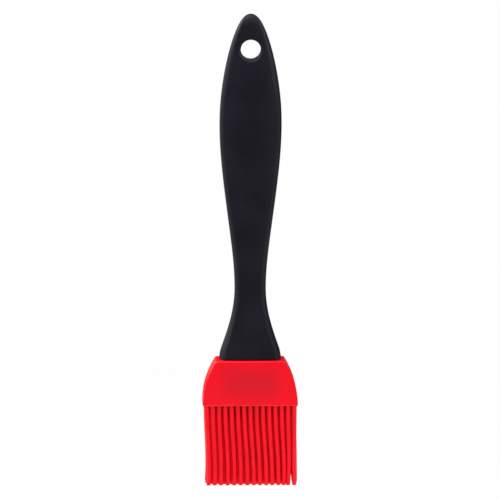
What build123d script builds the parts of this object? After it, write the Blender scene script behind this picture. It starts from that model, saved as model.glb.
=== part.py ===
from build123d import *
from math import cos, hypot, pi, sin, sqrt
import os

# A silicone pastry brush: a black moulded handle and a red head with rows of strands.
# Lengths are in millimetres. Z runs up the handle, X across the brush, and the front faces -Y.
# The origin is the centre of the hanging hole, and heights below it are negative.

overall_length = 205.0

# Handle outline, seen from the front
tip_above_hole = 15.4
belly_below_hole = 31.85
neck_above_seat = 31.05
belly_width = 26.65
neck_width = 13.5
seat_width = 28.6        # before the base draws in
base_draw_in = 0.92      # off each side at the seat
base_draw_in_height = 5.2
base_draw_in_power = 1.7
nose_softness = 0.578    # a large value makes the nose an ellipse, a small one more pointed
nose_fullness = 0.98     # added to the half width near the tip
taper_skew = 1.08        # over 1 keeps the belly's width longer
taper_bend = 0.018       # takes a little off above the middle of the taper and adds it below
flare_turn = 0.568       # share of a half wave that the flare goes through

# Handle thickness, seen from the side
tip_thickness = 3.05     # reached only at the very tip
belly_thickness = 9.0
neck_thickness = 8.2
seat_thickness = 9.4
nose_rounding = 5.5

# Handle section: a crowned face, a rounded edge and a bulged side
nose_crown_radius = 60.0
grip_crown_radius = 45.0
seat_crown_radius = 160.0
nose_edge_radius = 4.5
grip_edge_radius = 2.4
seat_edge_radius = 0.7
nose_side_radius = 4.4
grip_side_radius = 6.5
seat_side_radius = 5.0
least_crown = 1.6        # of the radius of one arc across the whole width, where the nose is narrow
least_side = 1.05        # of the half thickness, so that a side stays under a half circle
side_arc_share = 0.1     # of the corner that would leave no side arc, kept free for that arc

# Hanging hole
hole_diameter = 8.6
hole_rim_rounding = 1.1

# Tongue, moulded in one with the handle
tongue_width = 21.6
tongue_thickness = 6.6
tongue_length = 15.0
tongue_corner_radius = 2.0
tongue_draft = 1.5       # degrees
tongue_lead_in = 0.8     # chamfer round its end

# Head
head_top_width = 29.4
head_width = 41.1
head_height = 19.6
head_thickness = 13.4
head_edge_radius = 0.5
socket_clearance = 0.2   # beside the tongue
socket_end_clearance = 0.5
backing_depth = 2.2      # height of the slices that carry the strands

# Strands
strand_length = 35.2
strand_root_size = 1.7
strand_tip_size = 1.5
strand_pitch = 2.7
strands_in_long_row = 15
row_count = 5
row_pitch = 2.5
strand_end_taper = 0.8
strand_end_share = 0.6   # size left at the very end
strand_embed = 0.6       # how far a strand reaches into its slice
lean_most = 1.5          # sideways lean of the middle strands at their tips
lean_centre = -2.5
lean_reach = 23.0

# Heights that follow from them
head_bottom = tip_above_hole - overall_length + strand_length
seat_height = head_bottom + head_height
seat_below_hole = -seat_height
neck_below_hole = seat_below_hole - neck_above_seat
front_to_back = Plane.XZ

# How finely the shapes are drawn
nose_reach = 16.0        # the handle's sections crowd together over this length of the nose
nose_sections = 11
tip_flat = 0.5           # the first section's share of a step: the tip ends in a tiny flat
section_spacing = 5.0    # below the nose the sections stand about this far apart
base_sections = (0.62, 0.34, 0.14, 0.0)
strand_bends = 4         # straight runs that follow the lean of a strand


def ease(share):
    """Smooth step from 0 to 1."""
    share = min(max(share, 0.0), 1.0)
    return share * share * (3 - 2 * share)


def blend(start, end, share):
    return start + (end - start) * share


def half_width_at(height):
    """Half the width: a pointed oval, a bent cosine taper to the neck, the flare and its drawn in base."""
    depth = -height
    if depth <= belly_below_hole:
        rise = (belly_below_hole - depth) / (tip_above_hole + belly_below_hole)
        softened = hypot(rise, nose_softness) - nose_softness
        whole = hypot(1, nose_softness) - nose_softness
        fuller = nose_fullness * rise ** 12 * sqrt(1 - rise ** 2)
        return belly_width / 2 * sqrt(max(1 - softened / whole, 0.0)) + fuller
    if depth <= neck_below_hole:
        share = (depth - belly_below_hole) / (neck_below_hole - belly_below_hole)
        bent = share ** taper_skew + taper_bend * sin(2 * pi * share)
        return blend(neck_width, belly_width, (1 + cos(pi * bent)) / 2) / 2
    share = (depth - neck_below_hole) / neck_above_seat
    flare = (1 - cos(pi * flare_turn * share)) / (1 - cos(pi * flare_turn))
    beneath = max(1 - (seat_below_hole - depth) / base_draw_in_height, 0.0)
    return blend(neck_width, seat_width, flare) / 2 - base_draw_in * beneath ** base_draw_in_power


def half_thickness_at(height):
    """Half the handle's thickness: a falling curve from belly to tip, eased below, with a rounded nose."""
    depth = -height
    if depth <= belly_below_hole:
        thickness = blend(belly_thickness, tip_thickness, rise_at(height) ** 2)
    elif depth <= neck_below_hole:
        share = ease((depth - belly_below_hole) / (neck_below_hole - belly_below_hole))
        thickness = blend(belly_thickness, neck_thickness, share)
    else:
        share = ease((depth - neck_below_hole) / neck_above_seat)
        thickness = blend(neck_thickness, seat_thickness, share)
    below_tip = min((tip_above_hole - height) / nose_rounding, 1.0)
    return thickness / 2 * sqrt(1 - (1 - below_tip) ** 2)


def rise_at(height):
    """0 up to the belly, 1 at the tip."""
    return max((belly_below_hole + height) / (tip_above_hole + belly_below_hole), 0.0)


def flare_share_at(height):
    """0 down to the neck, 1 at the seat."""
    return ease((-height - neck_below_hole) / neck_above_seat)


def radius_at(height, nose, grip, seat):
    """A radius of the section, eased from the nose to the grip and from the neck to the seat."""
    return blend(blend(grip, nose, ease(rise_at(height))), seat, flare_share_at(height))


def corner_centre(half_width, half_thickness, corner, crown, side):
    """Centre of the arc that touches the crown arc and the side arc from inside."""
    crown_y = half_thickness - crown
    side_x = half_width - side
    apart = hypot(side_x, crown_y)
    along = ((crown - corner) ** 2 - (side - corner) ** 2 + apart ** 2) / (2 * apart)
    across = sqrt(max((crown - corner) ** 2 - along ** 2, 0.0))
    unit_x = side_x / apart
    unit_y = -crown_y / apart
    first = (along * unit_x - across * unit_y, crown_y + along * unit_y + across * unit_x)
    second = (along * unit_x + across * unit_y, crown_y + along * unit_y - across * unit_x)
    return max(first, second, key=sum)


def handle_section(height):
    """A closed ring of eight tangent arcs: front, back, two sides and four corners."""
    half_width = half_width_at(height)
    half_thickness = half_thickness_at(height)
    slimness = min(half_width / (neck_width / 2), 1.0)
    chord = half_width ** 2 + half_thickness ** 2
    crown = radius_at(height, nose_crown_radius, grip_crown_radius, seat_crown_radius) * slimness ** 2
    crown = max(crown, least_crown * chord / (2 * half_thickness))
    widest_corner = (2 * crown * half_thickness - chord) / (2 * (crown - half_width))
    corner = radius_at(height, nose_edge_radius, grip_edge_radius, seat_edge_radius)
    corner = min(corner, (1 - side_arc_share) * widest_corner)
    side = radius_at(height, nose_side_radius, grip_side_radius, seat_side_radius)
    side = max(side * slimness, least_side * half_thickness)
    centre_x, centre_y = corner_centre(half_width, half_thickness, corner, crown, side)

    def from_centre(away_x, away_y):
        """Point of the corner arc in a direction from its centre."""
        reach = hypot(away_x, away_y)
        return centre_x + corner * away_x / reach, centre_y + corner * away_y / reach

    to_crown = (centre_x, centre_y - (half_thickness - crown))
    to_side = (centre_x - (half_width - side), centre_y)
    crown_end = from_centre(*to_crown)
    side_end = from_centre(*to_side)
    middle = from_centre(
        to_crown[0] / hypot(*to_crown) + to_side[0] / hypot(*to_side),
        to_crown[1] / hypot(*to_crown) + to_side[1] / hypot(*to_side),
    )

    def mirrored(point, sign_x, sign_y):
        return (sign_x * point[0], sign_y * point[1])

    ring = []
    for sign_x, sign_y in ((1, -1), (1, 1), (-1, 1), (-1, -1)):
        corner_points = [mirrored(point, sign_x, sign_y) for point in (crown_end, middle, side_end)]
        if sign_x * sign_y > 0:
            corner_points.reverse()
        ring.append(corner_points)
    right_side = ThreePointArc(ring[0][2], (half_width, 0), ring[1][0])
    back = ThreePointArc(ring[1][2], (0, half_thickness), ring[2][0])
    left_side = ThreePointArc(ring[2][2], (-half_width, 0), ring[3][0])
    front = ThreePointArc(ring[3][2], (0, -half_thickness), ring[0][0])
    corners = [ThreePointArc(*points) for points in ring]
    edges = [front, corners[0], right_side, corners[1], back, corners[2], left_side, corners[3]]
    return Pos(0, 0, height) * Face(Wire(edges))


def handle_heights():
    """Heights of the sections, from the tip down to the seat."""
    heights = [tip_above_hole - nose_reach * (max(step, tip_flat) / nose_sections) ** 2
               for step in range(nose_sections)]
    below_nose = tip_above_hole + seat_below_hole - nose_reach
    steps = round(below_nose / section_spacing)
    heights += [seat_height + below_nose * step / steps for step in range(steps, 0, -1)]
    heights += [seat_height + base_draw_in_height * share for share in base_sections]
    return heights


def hang_hole_cutter():
    """A round bore along Y whose two rims are rounded over."""
    bore = hole_diameter / 2
    rim = bore + hole_rim_rounding
    face = half_thickness_at(0)
    wall_end = face - hole_rim_rounding
    far = face + hole_diameter
    turn = hole_rim_rounding * (1 - sqrt(0.5))
    outline = [
        Line((0, -far), (rim, -far)),
        Line((rim, -far), (rim, -face)),
        ThreePointArc((rim, -face), (bore + turn, -face + turn), (bore, -wall_end)),
        Line((bore, -wall_end), (bore, wall_end)),
        ThreePointArc((bore, wall_end), (bore + turn, face - turn), (rim, face)),
        Line((rim, face), (rim, far)),
        Line((rim, far), (0, far)),
        Line((0, far), (0, -far)),
    ]
    return revolve(Face(Wire(outline)), Axis.Y)


def tongue(clearance, end_clearance):
    """The drafted tongue from the seat down, or the room for it with a clearance round it."""
    root = RectangleRounded(
        tongue_width + 2 * clearance,
        tongue_thickness + 2 * clearance,
        tongue_corner_radius + clearance,
    )
    return extrude(
        Pos(0, 0, seat_height) * Rot(180, 0, 0) * root,
        amount=tongue_length + end_clearance,
        taper=tongue_draft,
    )


def make_handle():
    grip = loft([handle_section(height) for height in handle_heights()])
    grip = grip - hang_hole_cutter()
    peg = tongue(0, 0)
    peg = chamfer(peg.faces().sort_by(Axis.Z)[0].edges(), tongue_lead_in)
    return grip + peg


def whole_head():
    """The head as moulded, before its backing is divided between the rows."""
    top = head_top_width / 2
    bottom = head_width / 2
    drop = bottom - top
    side_radius = (drop ** 2 + head_height ** 2) / (2 * drop)
    middle_drop = head_height / 2
    middle_x = bottom - side_radius + sqrt(side_radius ** 2 - middle_drop ** 2)
    right = ThreePointArc(
        (bottom, head_bottom), (middle_x, head_bottom + middle_drop), (top, seat_height)
    )
    left = ThreePointArc(
        (-top, seat_height), (-middle_x, head_bottom + middle_drop), (-bottom, head_bottom)
    )
    outline = Face(Wire([
        Line((-bottom, head_bottom), (bottom, head_bottom)),
        right,
        Line((top, seat_height), (-top, seat_height)),
        left,
    ]))
    body = extrude(front_to_back * outline, amount=head_thickness / 2, both=True)
    sharp_bottom = body.faces().sort_by(Axis.Z)[0].edges()
    rounded = [edge for edge in body.edges() if edge not in sharp_bottom]
    return fillet(rounded, head_edge_radius)


def band(low_y, high_y, low_z, high_z):
    """A box across the whole width of the head."""
    size = (2 * head_width, high_y - low_y, high_z - low_z)
    return Pos(0, (low_y + high_y) / 2, (low_z + high_z) / 2) * Box(*size)


def make_head(head):
    upper = band(-head_thickness, head_thickness, head_bottom + backing_depth, seat_height + head_height)
    return (head & upper) - tongue(socket_clearance, socket_end_clearance)


def strand(start_x, start_y):
    """A square strand that leans sideways in a soft S and tapers off at its end."""
    lean = lean_most * (1 - ((start_x - lean_centre) / lean_reach) ** 2)
    even_length = strand_length - strand_end_taper
    places = [(strand_embed, strand_root_size, 0.0)]
    for bend in range(1, strand_bends + 1):
        share = bend / strand_bends
        size = blend(strand_root_size, strand_tip_size, share)
        places.append((-even_length * share, size, lean * ease(share)))
    places.append((-strand_length, strand_tip_size * strand_end_share, lean))
    sections = [
        Pos(start_x + shift, start_y, head_bottom + height) * Rectangle(size, size)
        for height, size, shift in places
    ]
    return loft(sections, ruled=True)


def make_row(head, row):
    """One slice of the backing with its strands; every second row stands half a pitch across."""
    middle = (row_count - 1) / 2
    row_y = (row - middle) * row_pitch
    low_y = -head_thickness if row == 0 else row_y - row_pitch / 2
    high_y = head_thickness if row == row_count - 1 else row_y + row_pitch / 2
    backing = head & band(low_y, high_y, head_bottom - head_height, head_bottom + backing_depth)
    count = strands_in_long_row - row % 2
    strands = [strand((place - (count - 1) / 2) * strand_pitch, row_y) for place in range(count)]
    return backing + strands


os.makedirs("parts", exist_ok=True)
export_step(make_handle(), "parts/handle.step")
silicone_head = whole_head()
export_step(make_head(silicone_head), "parts/brush_head.step")
for row in range(row_count):
    export_step(make_row(silicone_head, row), f"parts/bristle_row_{row + 1}.step")
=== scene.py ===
import math

import bmesh
import bpy
import numpy as np
from mathutils import Matrix, Vector


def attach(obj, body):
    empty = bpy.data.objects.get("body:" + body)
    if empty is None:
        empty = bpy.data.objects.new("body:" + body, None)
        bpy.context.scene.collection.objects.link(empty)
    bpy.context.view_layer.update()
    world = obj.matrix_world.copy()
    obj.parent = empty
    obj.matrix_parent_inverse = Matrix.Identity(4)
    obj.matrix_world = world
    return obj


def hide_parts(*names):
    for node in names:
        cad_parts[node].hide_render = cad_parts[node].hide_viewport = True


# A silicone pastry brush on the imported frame: black moulded handle, red silicone head, five rows of strands.
# Lengths in the dictionaries are millimetres from the centre of the hanging hole, as in the part's source.

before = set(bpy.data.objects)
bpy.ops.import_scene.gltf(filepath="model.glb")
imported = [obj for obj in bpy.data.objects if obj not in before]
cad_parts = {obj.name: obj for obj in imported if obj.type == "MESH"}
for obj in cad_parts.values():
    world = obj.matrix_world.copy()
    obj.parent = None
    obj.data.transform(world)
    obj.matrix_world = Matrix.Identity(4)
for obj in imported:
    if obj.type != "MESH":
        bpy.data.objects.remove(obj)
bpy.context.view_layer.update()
millimetre = 0.001
mergeDistance = 2e-6     # metres within which doubled points become one
nearZero = 1e-9          # keeps a division off 0
print("frame loaded with nodes:", ", ".join(sorted(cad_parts)))


def ease(share):
    # smooth step: 3s^2 - 2s^3, held at 0 and 1 outside the range
    share = np.clip(share, 0.0, 1.0)
    return share * share * (3 - 2 * share)


def blend(start, end, share):
    # straight mix: start plus share of the difference
    return start + (end - start) * share


def quarterTurn(steps):
    # angles from 0 to a right angle in equal steps
    return np.linspace(0, math.pi / 2, steps + 1)


def gridFaces(rows, columns, wrap=False):
    # quads between neighbours (r, c), (r, c+1), (r+1, c+1), (r+1, c); wrap joins the last column to the first
    row, column = np.meshgrid(np.arange(rows - 1), np.arange(columns if wrap else columns - 1), indexing="ij")
    after = (column + 1) % columns
    here, below = row * columns, (row + 1) * columns
    corners = (here + column, here + after, below + after, below + column)
    return np.stack(corners, axis=-1).reshape(-1, 4)


def makePiece(name, grids, sharpAngle=40):
    # grids of points (rows, columns, xyz) in mm become one mesh: doubles merge, then faces turn outwards
    points, faces, start = [], [], 0
    for grid, wrap in grids:
        rows, columns = grid.shape[:2]
        points.append(grid.reshape(-1, 3) * millimetre)
        faces.append(gridFaces(rows, columns, wrap) + start)
        start += rows * columns
    mesh = bpy.data.meshes.new(name)
    mesh.from_pydata(np.concatenate(points).tolist(), [], np.concatenate(faces).tolist())
    shape = bmesh.new()
    shape.from_mesh(mesh)
    bmesh.ops.remove_doubles(shape, verts=shape.verts, dist=mergeDistance)
    bmesh.ops.recalc_face_normals(shape, faces=shape.faces)
    shape.to_mesh(mesh)
    shape.free()
    mesh.shade_smooth()
    mesh.set_sharp_from_angle(angle=math.radians(sharpAngle))
    piece = bpy.data.objects.new(name, mesh)
    bpy.context.scene.collection.objects.link(piece)
    return piece


ringSteps = dict(crown=16, corner=9, side=7)     # points along each arc of a quarter section


def arcAngles(halfWidth, halfThickness, corner, crown, side):
    # the corner arc's centre lies crown - corner from the crown centre and side - corner from the side centre, on
    # the outer of the two crossings; both joins are the directions to it from those centres, from the y axis
    crownY = halfThickness - crown
    sideX = halfWidth - side
    apart = np.hypot(sideX, crownY)
    along = ((crown - corner) ** 2 - (side - corner) ** 2 + apart ** 2) / (2 * apart)
    across = np.sqrt(np.maximum((crown - corner) ** 2 - along ** 2, 0))
    firstX = (along * sideX + across * crownY) / apart
    firstY = crownY + (across * sideX - along * crownY) / apart
    otherX = (along * sideX - across * crownY) / apart
    otherY = crownY - (across * sideX + along * crownY) / apart
    first = firstX + firstY > otherX + otherY
    centreX, centreY = np.where(first, firstX, otherX), np.where(first, firstY, otherY)
    crownEnd = np.arctan2(centreX, centreY - crownY)
    sideEnd = np.arctan2(centreX - sideX, centreY)
    return centreX, centreY, crownEnd, sideEnd


def quarterSection(halfWidth, halfThickness, corner, crown, side):
    # x and y along a quarter of the section: crown arc, then corner arc, then side arc, angles from the y axis
    values = [np.asarray(value, float).reshape(-1, 1) for value in (halfWidth, halfThickness, corner, crown, side)]
    halfWidth, halfThickness, corner, crown, side = np.broadcast_arrays(*values)
    centreX, centreY, crownEnd, sideEnd = arcAngles(halfWidth, halfThickness, corner, crown, side)
    crownTurn = crownEnd * np.linspace(0, 1, ringSteps["crown"] + 1)
    cornerTurn = blend(crownEnd, sideEnd, np.linspace(0, 1, ringSteps["corner"] + 1)[1:])
    sideTurn = blend(sideEnd, math.pi / 2, np.linspace(0, 1, ringSteps["side"] + 1)[1:])
    x = np.hstack([crown * np.sin(crownTurn), centreX + corner * np.sin(cornerTurn),
                   halfWidth - side + side * np.sin(sideTurn)])
    y = np.hstack([halfThickness - crown + crown * np.cos(crownTurn), centreY + corner * np.cos(cornerTurn),
                   side * np.cos(sideTurn)])
    return x, y


def sectionDepth(x, halfWidth, halfThickness, corner, crown, side):
    # the section's y over a given x: the arc of the three that x falls under
    centreX, centreY, crownEnd, sideEnd = arcAngles(halfWidth, halfThickness, corner, crown, side)
    x = np.minimum(np.abs(x), halfWidth)
    onCrown = halfThickness - crown + np.sqrt(np.maximum(crown ** 2 - x ** 2, 0))
    onCorner = centreY + np.sqrt(np.maximum(corner ** 2 - (x - centreX) ** 2, 0))
    onSide = np.sqrt(np.maximum(side ** 2 - (x - halfWidth + side) ** 2, 0))
    underCrown = x <= crown * np.sin(crownEnd)
    underCorner = x <= centreX + corner * np.sin(sideEnd)
    return np.where(underCrown, onCrown, np.where(underCorner, onCorner, onSide))


def fullRings(halfWidth, halfThickness, corner, crown, side, height):
    # the quarter mirrored to a closed ring: right side, front, left side, back; one ring for each height
    x, y = quarterSection(halfWidth, halfThickness, corner, crown, side)
    height = np.broadcast_to(np.asarray(height, float).reshape(-1, 1), x.shape)
    frontRight = np.stack([x, -y, height], axis=-1)[:, ::-1]
    frontLeft = np.stack([-x, -y, height], axis=-1)[:, 1:]
    backLeft = np.stack([-x, y, height], axis=-1)[:, ::-1][:, 1:]
    backRight = np.stack([x, y, height], axis=-1)[:, 1:-1]
    return np.concatenate([frontRight, frontLeft, backLeft, backRight], axis=1)


def endCap(ring):
    # closes a ring with a strip of quads between its front half and its back half
    half = len(ring) // 2
    back = np.concatenate([ring[:1], ring[half + 1:][::-1], ring[half:half + 1]])
    return np.stack([ring[:half + 1], back])


handleForm = dict(
    tip=15.366, belly=-31.85, neck=-103.75, seat=-134.8,
    bellyWidth=26.65, neckWidth=13.5, seatWidth=28.6,
    baseDrawIn=0.92, baseDrawInHeight=5.2, baseDrawInPower=1.7,
    noseSoftness=0.578, noseFullness=0.98, fullnessPower=12, taperSkew=1.08, taperBend=0.018, flareTurn=0.568,
    tipThickness=3.05, bellyThickness=9.0, neckThickness=8.2, seatThickness=9.4, noseRounding=5.5,
    # radii at the nose, the grip and the seat
    crown=(60.0, 45.0, 160.0), edge=(4.5, 2.4, 0.7), side=(4.4, 6.5, 5.0),
    leastCrown=1.6, largestEdge=0.96, leastSide=1.05,
    hole=8.6, rim=1.1, rimSteps=8, boreSteps=10, slopeStep=0.2,
    holePatchEnd=-10.0, patchRings=34, patchPower=1.9, outlinePoints=150, outlineSamples=4000,
    ringSpacing=0.9, seatEdge=0.3, edgeSteps=5,
    tongueWidth=21.6, tongueThickness=6.6, tongueLength=15.0, tongueCorner=2.0, tongueCrown=900.0, tongueSide=700.0,
    tongueDraft=1.5, tongueRoot=0.35, rootSteps=4, tongueRings=11, leadIn=0.8, leadSteps=5,
)


def handleLaws(z):
    # width: a softened oval above the belly, fuller near the tip; a bent cosine taper to the neck; then part of a
    # cosine wave to the seat, less a power curve where the base draws in
    # thickness: a parabola from the belly to the tip, closed by a quarter circle's law; eased between the stations
    # below; radii: eased from the nose to the grip and on to the seat, held within limits that keep every arc
    form = handleForm
    span = form["tip"] - form["belly"]
    rise = np.clip((z - form["belly"]) / span, 0, 1)
    soft = form["noseSoftness"]
    whole = math.hypot(1, soft) - soft
    nose = form["bellyWidth"] / 2 * np.sqrt(np.maximum(1 - (np.hypot(rise, soft) - soft) / whole, 0))
    nose = nose + form["noseFullness"] * rise ** form["fullnessPower"] * np.sqrt(1 - rise ** 2)
    taper = np.clip((form["belly"] - z) / (form["belly"] - form["neck"]), 0, 1)
    bent = taper ** form["taperSkew"] + form["taperBend"] * np.sin(2 * np.pi * taper)
    middle = blend(form["neckWidth"], form["bellyWidth"], (1 + np.cos(np.pi * bent)) / 2) / 2
    flareShare = np.clip((form["neck"] - z) / (form["neck"] - form["seat"]), 0, 1)
    turn = math.pi * form["flareTurn"]
    flare = (1 - np.cos(turn * flareShare)) / (1 - math.cos(turn))
    beneath = np.clip(1 - (z - form["seat"]) / form["baseDrawInHeight"], 0, 1)
    low = blend(form["neckWidth"], form["seatWidth"], flare) / 2
    low = low - form["baseDrawIn"] * beneath ** form["baseDrawInPower"]
    halfWidth = np.where(z >= form["belly"], nose, np.where(z >= form["neck"], middle, low))
    noseDeep = blend(form["bellyThickness"], form["tipThickness"], rise ** 2)
    middleDeep = blend(form["bellyThickness"], form["neckThickness"], ease(taper))
    lowDeep = blend(form["neckThickness"], form["seatThickness"], ease(flareShare))
    thickness = np.where(z >= form["belly"], noseDeep, np.where(z >= form["neck"], middleDeep, lowDeep))
    belowTip = np.clip((form["tip"] - z) / form["noseRounding"], 0, 1)
    halfThickness = thickness / 2 * np.sqrt(1 - (1 - belowTip) ** 2)
    slimness = np.minimum(halfWidth / (form["neckWidth"] / 2), 1)
    crown, edge, side = (blend(blend(grip, end, ease(rise)), seat, ease(flareShare))
                         for end, grip, seat in (form["crown"], form["edge"], form["side"]))
    chord = halfWidth ** 2 + halfThickness ** 2
    oneArc = chord / (2 * np.maximum(halfThickness, nearZero))      # the radius of one arc across the whole width
    crown = np.maximum(crown * slimness ** 2, form["leastCrown"] * oneArc)
    widest = (2 * crown * halfThickness - chord) / (2 * (crown - halfWidth))     # a corner that leaves no side arc
    corner = np.minimum(edge, form["largestEdge"] * widest)
    side = np.maximum(side * slimness, form["leastSide"] * halfThickness)
    return halfWidth, halfThickness, corner, crown, side


def handleDepth(x, z):
    # half the thickness over a point of the front view
    return sectionDepth(x, *handleLaws(z))


def holePatch():
    # front view points on rays from the hole's rim to the outline, dense near the outline; depth from the section
    form = handleForm
    low = form["holePatchEnd"]
    fine = np.sin(quarterTurn(form["outlineSamples"] - 1))
    outlineZ = low + (form["tip"] - low) * fine
    outlineX = handleLaws(outlineZ)[0]
    walked = np.concatenate([[0], np.cumsum(np.hypot(np.diff(outlineX), np.diff(outlineZ)))])
    steps = np.linspace(0, walked[-1], form["outlinePoints"] // 2 + 1)
    right = np.stack([np.interp(steps, walked, outlineX), np.interp(steps, walked, outlineZ)], axis=-1)
    right[-1] = (0, form["tip"])
    left = (right * (-1, 1))[::-1][1:]
    lowX = quarterSection(*handleLaws(np.array([low])))[0][0]
    lowRow = np.concatenate([-lowX[::-1], lowX[1:]])[1:-1]
    bottom = np.stack([lowRow, np.full(len(lowRow), low)], axis=-1)
    border = np.concatenate([right, left, bottom])
    onOutline = np.arange(len(border)) < len(right) + len(left)
    angle = np.arctan2(border[:, 1], border[:, 0])
    outwards = np.stack([np.cos(angle), np.sin(angle)], axis=-1)
    rim = form["rim"]
    radius = form["hole"] / 2 + rim
    step = form["slopeStep"]
    near, far = (handleDepth(*(outwards * (radius + aside)).T) for aside in (-step, step))
    slope = np.arctan((near - far) / (2 * step))
    rimRadius = form["hole"] / 2 + rim * (1 + np.sin(slope))
    share = 1 - (1 - np.linspace(0, 1, form["patchRings"] + 1)) ** form["patchPower"]
    start = outwards * rimRadius[:, None]
    spot = blend(start[None], border[None], share[:, None, None])
    depth = handleDepth(spot[..., 0], spot[..., 1])
    depth[-1, onOutline] = 0
    patch = np.stack([spot[..., 0], depth, spot[..., 1]], axis=-1)
    # the bore: a rounded rim whose arc meets the slope of the face, then the straight wall, the same at the back
    wallEnd = depth[0] - rim * np.cos(slope)
    turn = blend(math.pi / 2 + slope, 0, np.linspace(0, 1, form["rimSteps"] + 1)[:, None])
    arcRadius = form["hole"] / 2 + rim - rim * np.cos(turn)
    arcDepth = wallEnd + rim * np.sin(turn)
    wallDepth = wallEnd * np.linspace(1, -1, form["boreSteps"] + 1)[1:-1, None]
    boreRadius = np.concatenate([arcRadius, np.full(wallDepth.shape, form["hole"] / 2), arcRadius[::-1]])
    boreDepth = np.concatenate([arcDepth, wallDepth, -arcDepth[::-1]])
    bore = np.stack([boreRadius * outwards[:, 0], boreDepth, boreRadius * outwards[:, 1]], axis=-1)
    return [(patch, True), (patch * (1, -1, 1), True), (bore, True)]


def makeHandle():
    # rings of the section carried down the handle, rounded over at the seat, drawn in to the tongue and down it
    form = handleForm
    low, seat = form["holePatchEnd"], form["seat"]
    edge = form["seatEdge"]
    count = round((low - seat - edge) / form["ringSpacing"])
    heights = np.linspace(low, seat + edge, count + 1)
    body = fullRings(*handleLaws(heights), heights)
    halfWidth, halfThickness, corner, crown, side = (float(value[0]) for value in handleLaws(np.array([seat])))
    turn = quarterTurn(form["edgeSteps"])[1:]
    inset = edge * (1 - np.cos(turn))
    over = fullRings(halfWidth - inset, halfThickness - inset, corner - inset, crown, side,
                     seat + edge * (1 - np.sin(turn)))
    # tongue: half sizes shrink with the draft; the root has a small hollow, the end a lead-in
    root = form["tongueRoot"]
    rootTurn = quarterTurn(form["rootSteps"])
    rootSize = root * (1 - np.sin(rootTurn))
    rootDepth = root * (1 - np.cos(rootTurn))
    straight = np.linspace(root, form["tongueLength"] - form["leadIn"], form["tongueRings"] + 1)[1:]
    leadTurn = quarterTurn(form["leadSteps"])[1:]
    leadSize = -form["leadIn"] * (1 - np.cos(leadTurn))
    leadDepth = form["tongueLength"] - form["leadIn"] * (1 - np.sin(leadTurn))
    depth = np.concatenate([rootDepth, straight, leadDepth])
    draft = math.tan(math.radians(form["tongueDraft"]))
    size = np.concatenate([rootSize, np.zeros(len(straight)), leadSize]) - depth * draft
    tongue = fullRings(form["tongueWidth"] / 2 + size, form["tongueThickness"] / 2 + size,
                       form["tongueCorner"] + size, form["tongueCrown"], form["tongueSide"], seat - depth)
    rings = np.concatenate([body, over, tongue])
    return makePiece("handleMoulding", [*holePatch(), (rings, True), (endCap(rings[-1]), False)])


headForm = dict(
    top=-134.8, bottom=-154.4, topWidth=29.4, bottomWidth=41.1, thickness=13.4,
    edge=0.5, edgeSteps=7, bottomEdge=0.3, bottomSteps=4, leastCorner=0.04, wallRings=39,
    faceCrown=2500.0, sideCrown=1500.0, lip=0.12, lipHeight=0.2, lipFade=0.2, lipRings=8,
    socketWidth=22.0, socketThickness=7.0, socketCorner=2.2, socketCrown=900.0, socketSide=700.0,
    socketDepth=15.5, socketDraft=1.5, socketRings=7, mouth=0.25, mouthSteps=4,
)


def makeHead():
    # rings of a rounded rectangle up the outside, whose half width is an arc, over the top edge and down the socket;
    # front and back ease inwards behind the lip
    form = headForm
    drop = (form["bottomWidth"] - form["topWidth"]) / 2
    tall = form["top"] - form["bottom"]
    arc = (drop ** 2 + tall ** 2) / (2 * drop)

    def sideOf(height):
        # half width: bottom half width less the arc's sagitta over that height
        return form["bottomWidth"] / 2 - arc + np.sqrt(arc ** 2 - (height - form["bottom"]) ** 2)

    small, large = form["bottomEdge"], form["edge"]
    under = quarterTurn(form["bottomSteps"])
    underInset = small * (1 - np.sin(under))
    underHeight = form["bottom"] + small * (1 - np.cos(under))
    lipTop = form["bottom"] + form["lipHeight"] + form["lipFade"]
    wallHeight = np.concatenate([np.linspace(form["bottom"] + small, lipTop, form["lipRings"] + 1)[1:],
                                 np.linspace(lipTop, form["top"] - large, form["wallRings"] + 1)[1:]])
    overTurn = quarterTurn(form["edgeSteps"])[1:]
    overInset = large * (1 - np.cos(overTurn))
    overHeight = form["top"] - large * (1 - np.sin(overTurn))
    height = np.concatenate([underHeight, wallHeight, overHeight])
    inset = np.concatenate([underInset, np.zeros(len(wallHeight)), overInset])
    corner = np.maximum(large - inset, form["leastCorner"])
    behindLip = form["lip"] * ease((height - form["bottom"] - form["lipHeight"]) / form["lipFade"])
    outside = fullRings(sideOf(height) - inset, form["thickness"] / 2 - inset - behindLip, corner,
                        form["faceCrown"], form["sideCrown"], height)
    mouthTurn = quarterTurn(form["mouthSteps"])
    mouthSize = form["mouth"] * (1 - np.sin(mouthTurn))
    mouthDepth = form["mouth"] * (1 - np.cos(mouthTurn))
    wallDepth = np.linspace(form["mouth"], form["socketDepth"], form["socketRings"] + 1)[1:]
    depth = np.concatenate([mouthDepth, wallDepth])
    draft = math.tan(math.radians(form["socketDraft"]))
    size = np.concatenate([mouthSize, np.zeros(len(wallDepth))]) - depth * draft
    socket = fullRings(form["socketWidth"] / 2 + size, form["socketThickness"] / 2 + size,
                       form["socketCorner"] + size, form["socketCrown"], form["socketSide"], form["top"] - depth)
    rings = np.concatenate([outside, socket])
    return makePiece("siliconeHead", [(rings, True), (endCap(rings[0]), False), (endCap(rings[-1]), False)])


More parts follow.
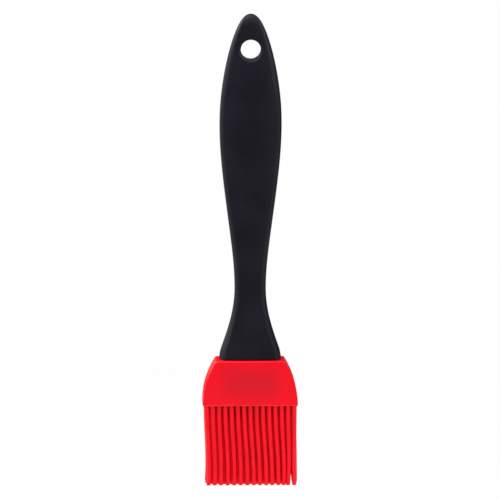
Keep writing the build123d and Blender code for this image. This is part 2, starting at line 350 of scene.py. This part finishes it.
strandForm = dict(
    root=-154.4, length=35.2, rootSize=1.92, tipSize=1.80, embed=0.6, rootHollow=0.22, tipRounding=0.32,
    pitch=2.70, longRow=15, rows=5, rowPitch=2.5, endAside=0.2,
    sides=14, rings=26, rootShare=0.02, rootRings=5, tipSteps=6, sharpAngle=80,
    lean=1.55, leanCentre=-1.0, leanReach=23.0, middleShare=0.62, stray=0.16, fan=0.12, shorter=0.05, seed=7,
    # offsets halfway and at the tip: the last strand of a short row, the outer three of a long row, the front row
    endLean=(0.35, 1.6),
    backMiddle=(0.55, 0.45, 0.25), backTip=(0.48, 0.2, 0.45),
    frontMiddle=(0.78, 0.70, 0.64, 0.78, 0.85, 0.88, 0.95, 0.88, 0.82, 0.87, 0.80, 0.80, 0.74, 0.45, -0.12),
    frontTip=(0.94, 0.90, 0.90, 1.10, 1.22, 1.30, 1.50, 1.62, 1.56, 1.54, 1.45, 1.40, 1.0, 0.2, 0.0),
)


def strandRow(row):
    # each strand is circles along a bent line: offset a*s^2 + b*s^3, set by its offset halfway and at the tip;
    # the radius tapers straight, opens in a quarter hollow at the root and closes in a quarter circle at the tip
    form = strandForm
    chance = np.random.default_rng(form["seed"] + row)
    count = form["longRow"] - row % 2
    startX = (np.arange(count) - (count - 1) / 2) * form["pitch"]
    startX[-1] += form["endAside"] * (1 - row % 2)
    fromMiddle = row - (form["rows"] - 1) / 2
    startY = fromMiddle * form["rowPitch"]
    if row == 0:
        middle, tip = np.array(form["frontMiddle"]), np.array(form["frontTip"])
    else:
        tip = form["lean"] * (1 - ((startX - form["leanCentre"]) / form["leanReach"]) ** 2)
        tip = tip + chance.uniform(-1, 1, count) * form["stray"]
        middle = tip * form["middleShare"] + chance.uniform(-1, 1, count) * form["stray"] / 2
        if row % 2:
            middle[-1], tip[-1] = form["endLean"]     # the last strands stand clear of the notch in the tips
        else:
            middle[[0, -2, -1]], tip[[0, -2, -1]] = form["backMiddle"], form["backTip"]
    length = form["length"] - form["shorter"] * chance.uniform(0, 1, count) ** 2
    sway = chance.uniform(-1, 1, count) * form["stray"] / 2 + form["fan"] * fromMiddle / 2
    bow = 8 * middle - tip
    cubic = tip - bow                         # so that offset(1/2) is middle and offset(1) is tip
    rootShare, sunk, rounded = form["rootShare"], form["embed"] / form["length"], form["tipRounding"] / form["length"]
    share = np.concatenate([
        [-sunk, -sunk],
        np.linspace(0, rootShare, form["rootRings"]),
        np.linspace(rootShare, 1 - rounded, form["rings"])[1:],
        1 - rounded * (1 - np.sin(quarterTurn(form["tipSteps"])[1:])),
    ])
    radius = blend(form["rootSize"], form["tipSize"], np.clip(share, 0, 1)) / 2
    hollow = np.clip(1 - share / rootShare, 0, 1)
    radius = radius + form["rootHollow"] * (1 - np.sqrt(1 - hollow ** 2))
    radius[0] = 0
    toEnd = np.clip((1 - share) / rounded, 0, 1)
    radius = radius * np.sqrt(1 - (1 - toEnd) ** 2)
    along = np.clip(share, 0, 1)[None, :]
    offset = bow[:, None] * along ** 2 + cubic[:, None] * along ** 3
    turn = np.linspace(0, 2 * np.pi, form["sides"], endpoint=False)
    centreX = startX[:, None] + offset
    centreY = startY + sway[:, None] * along ** 2
    x = centreX[..., None] + radius[None, :, None] * np.cos(turn)
    y = centreY[..., None] + radius[None, :, None] * np.sin(turn)
    z = form["root"] - (share[None, :] * length[:, None])[..., None] + 0 * x
    strands = np.stack([x, y, z], axis=-1)
    return makePiece(f"strandRow{row + 1}", [(strand, True) for strand in strands], form["sharpAngle"])


handle = makeHandle()
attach(handle, "handle")
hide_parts("handle")
print("handle moulded:", len(handle.data.polygons), "faces")

head = makeHead()
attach(head, "head")
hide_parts("brush_head")
print("head moulded:", len(head.data.polygons), "faces")

strandRows = []
for row in range(strandForm["rows"]):
    piece = strandRow(row)
    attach(piece, "head")
    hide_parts(f"bristle_row_{row + 1}")
    strandRows.append(piece)
print("strands moulded:", sum(len(piece.data.polygons) for piece in strandRows), "faces")


class Socket:
    # wraps an output so that sums, differences and products of values read as plain expressions
    def __init__(self, shader, output):
        self.shader, self.output = shader, output

    def mathNode(self, operation, first, second=None):
        inputs = {0: first} if second is None else {0: first, 1: second}
        return self.shader.node("ShaderNodeMath", dict(operation=operation), inputs)

    def __add__(self, other): return self.mathNode("ADD", self, other)
    def __radd__(self, other): return self.mathNode("ADD", other, self)
    def __sub__(self, other): return self.mathNode("SUBTRACT", self, other)
    def __rsub__(self, other): return self.mathNode("SUBTRACT", other, self)
    def __mul__(self, other): return self.mathNode("MULTIPLY", self, other)
    def __abs__(self): return self.mathNode("ABSOLUTE", self)

    def largest(self, other):
        return self.mathNode("MAXIMUM", self, other)


class Shader:
    # one material or world tree; node() sets a node's settings first, then its sockets, and gives one output back
    def __init__(self, owner):
        owner.use_nodes = True
        self.tree = owner.node_tree
        self.tree.nodes.clear()

    def node(self, kind, settings=None, sockets=None, output=0):
        made = self.tree.nodes.new(kind)
        for name, value in (settings or {}).items():
            setattr(made, name, value)
        for name, value in (sockets or {}).items():
            target = made.inputs[name]
            if isinstance(value, Socket):
                self.tree.links.new(value.output, target)
            elif target.type == "RGBA":
                target.default_value = (*value, 1)
            else:
                target.default_value = value
        return Socket(self, made.outputs[output]) if len(made.outputs) else None

    def mix(self, first, second, share):
        # colours mixed by a share; sockets 0, 6 and 7 and output 2 are the node's colour ones
        return self.node("ShaderNodeMix", dict(data_type="RGBA"), {0: share, 6: first, 7: second}, output=2)

    def fade(self, value, start, end):
        # 0 at start to 1 at end, smooth step between
        return self.node("ShaderNodeMapRange", dict(interpolation_type="SMOOTHSTEP"),
                         {"Value": value, "From Min": start, "From Max": end})

    def noise(self, place, scale, detail, roughness=0.5):
        return self.node("ShaderNodeTexNoise", dict(noise_dimensions="3D"),
                         {"Vector": place, "Scale": scale, "Detail": detail, "Roughness": roughness})

    def surface(self, colour, roughness, relief, finish, height):
        # the principled surface with its bump, whose height is in mm
        bump = self.node("ShaderNodeBump", sockets={
            "Strength": finish["bumpStrength"], "Distance": height * millimetre, "Height": relief})
        made = self.node("ShaderNodeBsdfPrincipled", sockets={
            "Base Color": colour, "Roughness": roughness, "Specular IOR Level": finish["specular"], "Normal": bump})
        self.node("ShaderNodeOutputMaterial", sockets={"Surface": made})


plasticFinish = dict(
    dark=(0.0056, 0.0052, 0.0096), light=(0.0088, 0.0082, 0.0142),
    roughness=0.45, roughnessSpread=0.07, specular=0.15, cloudScale=60.0, cloudDetail=3.0,
    grainSize=0.28, grainDetail=2.0, grainRoughness=0.6, grainTint=0.25, tintRange=(0.45, 0.85), grainGloss=0.06,
    grainHeight=0.012, grainRelief=0.8, bumpStrength=0.35, partingLine=0.12, lineCore=0.3, lineRelief=0.9,
)


def blackPlastic():
    # near-black with slow cloudy variation, a fine spark-eroded grain and the mould's parting line round the edge
    finish = plasticFinish
    material = bpy.data.materials.new("blackMouldedPlastic")
    shader = Shader(material)
    place = shader.node("ShaderNodeTexCoord", output="Object")
    y = shader.node("ShaderNodeSeparateXYZ", sockets={0: place}, output="Y")
    clouds = shader.noise(place, finish["cloudScale"], finish["cloudDetail"])
    grain = shader.noise(place, 1 / (finish["grainSize"] * millimetre), finish["grainDetail"],
                         finish["grainRoughness"])
    lineEdge = finish["partingLine"] * millimetre
    line = 1 - shader.fade(abs(y), lineEdge * finish["lineCore"], lineEdge)
    tint = shader.fade(clouds + grain * finish["grainTint"], *finish["tintRange"])
    colour = shader.mix(finish["dark"], finish["light"], tint)
    roughness = (finish["roughness"] + (clouds - 0.5) * finish["roughnessSpread"]
                 + (grain - 0.5) * finish["grainGloss"])
    shader.surface(colour, roughness, grain * finish["grainRelief"] + line * finish["lineRelief"], finish,
                   finish["grainHeight"])
    return material


siliconeFinish = dict(
    plain=(0.84, 0.0006, 0.0115), deep=(0.79, 0.0005, 0.0105), overTongue=(0.66, 0.0030, 0.0150),
    roughness=0.33, roughnessSpread=0.06, specular=0.26, flowScale=90.0, flowDetail=3.0, tintRange=(0.35, 0.7),
    skinSize=0.5, skinDetail=3.0, skinRoughness=0.55, skinGloss=0.05, skinHeight=0.006, bumpStrength=0.3,
    tongueHalfWidth=11.4, tongueTop=-138.0, tongueEnd=-150.5, tongueFade=9.0,
)
# the strands' red is a little lighter than the head's: painted light, standing in for light passing through the thin
# silicone strands and lifting the gaps between them
strandFinish = dict(
    siliconeFinish, plain=(0.87, 0.0006, 0.0115), deep=(0.82, 0.0005, 0.0105), roughness=0.42, specular=0.23,
)


def redSilicone(name, finish):
    # saturated red with faint flow variation, satin skin, and the black tongue showing darker through the wall
    material = bpy.data.materials.new(name)
    shader = Shader(material)
    place = shader.node("ShaderNodeTexCoord", output="Object")
    x, z = (shader.node("ShaderNodeSeparateXYZ", sockets={0: place}, output=axis) for axis in "XZ")
    flow = shader.noise(place, finish["flowScale"], finish["flowDetail"])
    skin = shader.noise(place, 1 / (finish["skinSize"] * millimetre), finish["skinDetail"], finish["skinRoughness"])
    fade = finish["tongueFade"] * millimetre

    def past(value, edge):
        # 0 to 1 across a fade centred on the edge
        return shader.fade(value, edge * millimetre - fade / 2, edge * millimetre + fade / 2)

    beside = 1 - past(abs(x), finish["tongueHalfWidth"])
    within = past(z, finish["tongueEnd"])
    above = 1 - past(z, finish["tongueTop"])
    colour = shader.mix(finish["plain"], finish["deep"], shader.fade(flow, *finish["tintRange"]))
    colour = shader.mix(colour, finish["overTongue"], beside * within * above)
    roughness = (finish["roughness"] + (flow - 0.5) * finish["roughnessSpread"]
                 + (skin - 0.5) * finish["skinGloss"])
    shader.surface(colour, roughness, skin, finish, finish["skinHeight"])
    return material


handle.data.materials.append(blackPlastic())
head.data.materials.append(redSilicone("redSilicone", siliconeFinish))
strandSilicone = redSilicone("strandSilicone", strandFinish)
for piece in strandRows:
    piece.data.materials.append(strandSilicone)
print("materials set")


studio = dict(
    middle=-87.0, floorHeight=-240.0, floorSize=12000.0, floorColour=(0.8, 0.8, 0.8), floorWhite=0.99,
    worldLight=0.20, cardColour=(0.02, 0.02, 0.02), cardLift=5.0,
    # azimuth, distance, width and height of each card
    cards=dict(frontCard=(0, 400, 520, 560), rightCard=(128, 450, 520, 330), leftCard=(-140, 450, 400, 70),
               backCard=(180, 450, 300, 420)),
    # azimuth, elevation, distance, size and watts of each lamp
    lamps=dict(keyLeft=(-95, 38, 900, 500, 12.5), fillRight=(48, 28, 900, 500, 4.7),
               frontAbove=(-10, 56, 900, 240, 4.8)),
)


def direction(azimuth, elevation):
    # unit vector towards an azimuth, from the front and growing to the right, and an elevation, both in degrees
    turn, lift = math.radians(azimuth), math.radians(elevation)
    return Vector((math.sin(turn) * math.cos(lift), -math.cos(turn) * math.cos(lift), math.sin(lift)))


def background(shader):
    # 1 for rays that should see the plain white background: camera, glossy and transmission rays
    camera, glossy, through = (shader.node("ShaderNodeLightPath", output=kind)
                               for kind in ("Is Camera Ray", "Is Glossy Ray", "Is Transmission Ray"))
    return camera.largest(glossy.largest(through))


def makeFloor():
    # a flat square grid of four points; seen from below it is clear
    half, height = studio["floorSize"] / 2, studio["floorHeight"]
    x, y = np.meshgrid([-half, half], [-half, half])
    floor = makePiece("floor", [(np.stack([x, y, np.full(x.shape, height)], axis=-1), False)])
    material = bpy.data.materials.new("paleFloor")
    shader = Shader(material)
    matt = shader.node("ShaderNodeBsdfDiffuse", sockets={"Color": studio["floorColour"]})
    white = shader.node("ShaderNodeEmission", sockets={"Color": (1, 1, 1), "Strength": 1.0})
    whiteShare = background(shader) * studio["floorWhite"]
    lit = shader.node("ShaderNodeMixShader", sockets={0: whiteShare, 1: matt, 2: white})
    clear = shader.node("ShaderNodeBsdfTransparent")
    below = shader.node("ShaderNodeNewGeometry", output="Backfacing")
    surface = shader.node("ShaderNodeMixShader", sockets={0: below, 1: lit, 2: clear})
    shader.node("ShaderNodeOutputMaterial", sockets={"Surface": surface})
    floor.data.materials.append(material)
    if floor.data.polygons[0].normal.z < 0:
        floor.data.flip_normals()


def makeCard(name, azimuth, distance, width, height):
    # an upright dark sheet of four points at an azimuth, seen only by reflections and bounced light
    turn = math.radians(azimuth)
    foot = studio["floorHeight"] + studio["cardLift"]
    across, z = np.meshgrid([-width / 2, width / 2], [foot, foot + height])
    x = distance * math.sin(turn) + across * math.cos(turn)
    y = across * math.sin(turn) - distance * math.cos(turn)
    card = makePiece(name, [(np.stack([x, y, z], axis=-1), False)])
    material = bpy.data.materials.new(name)
    shader = Shader(material)
    matt = shader.node("ShaderNodeBsdfDiffuse", sockets={"Color": studio["cardColour"]})
    shader.node("ShaderNodeOutputMaterial", sockets={"Surface": matt})
    card.data.materials.append(material)
    card.visible_camera = False


def makeWorld():
    # even white: strength 1 for the rays that see the background, a softer light for the others
    world = bpy.data.worlds.new("studio")
    bpy.context.scene.world = world
    shader = Shader(world)
    strength = background(shader) * (1 - studio["worldLight"]) + studio["worldLight"]
    surface = shader.node("ShaderNodeBackground", sockets={"Color": (1, 1, 1), "Strength": strength})
    shader.node("ShaderNodeOutputWorld", sockets={"Surface": surface})


def softbox(name, azimuth, elevation, distance, size, power):
    # a square lamp at an azimuth and elevation from the brush's middle, aimed at it
    lamp = bpy.data.lights.new(name, "AREA")
    lamp.energy, lamp.size, lamp.shape = power, size * millimetre, "SQUARE"
    holder = bpy.data.objects.new(name, lamp)
    away = direction(azimuth, elevation)
    middle = Vector((0, 0, studio["middle"] * millimetre))
    holder.location = middle + away * distance * millimetre
    holder.rotation_euler = away.to_track_quat("Z", "Y").to_euler()
    holder.visible_camera = False
    bpy.context.scene.collection.objects.link(holder)


makeFloor()
for name, values in studio["cards"].items():
    makeCard(name, *values)
makeWorld()
for name, values in studio["lamps"].items():
    softbox(name, *values)
print("floor, world and lamps set")


cameraView = dict(
    target=(0, 0, studio["middle"]), azimuth=-2.0, elevation=10.5, distance=2500.0, roll=0.0025, sensor=36.0,
    pixelsPerMm=2.3275, pictureWidth=500, targetPixel=(249.75, 249.15), clip=(0.05, 50),
)


def makeCamera():
    # looks at the target from an azimuth and elevation, moved a fraction of a pixel to the photograph's framing
    view = cameraView
    camera = bpy.data.cameras.new("camera")
    camera.sensor_width = view["sensor"]
    camera.lens = view["sensor"] * view["distance"] * view["pixelsPerMm"] / view["pictureWidth"]
    turn = math.radians(view["azimuth"])
    away = direction(view["azimuth"], view["elevation"])
    right = Vector((math.cos(turn), math.sin(turn), 0))
    up = away.cross(right)
    level, tilt = math.cos(view["roll"]), math.sin(view["roll"])
    right, up = right * level + up * tilt, up * level - right * tilt
    middle = (view["pictureWidth"] - 1) / 2
    aside, lower = ((pixel - middle) / view["pixelsPerMm"] for pixel in view["targetPixel"])
    aim = Vector(view["target"]) - right * aside + up * lower
    holder = bpy.data.objects.new("camera", camera)
    place = Matrix.Translation((aim + away * view["distance"]) * millimetre)
    holder.matrix_world = place @ Matrix((right, up, away)).transposed().to_4x4()
    camera.clip_start, camera.clip_end = view["clip"]
    bpy.context.scene.collection.objects.link(holder)
    bpy.context.scene.camera = holder


makeCamera()
bpy.context.scene.view_settings.view_transform = "Standard"
print("camera set")
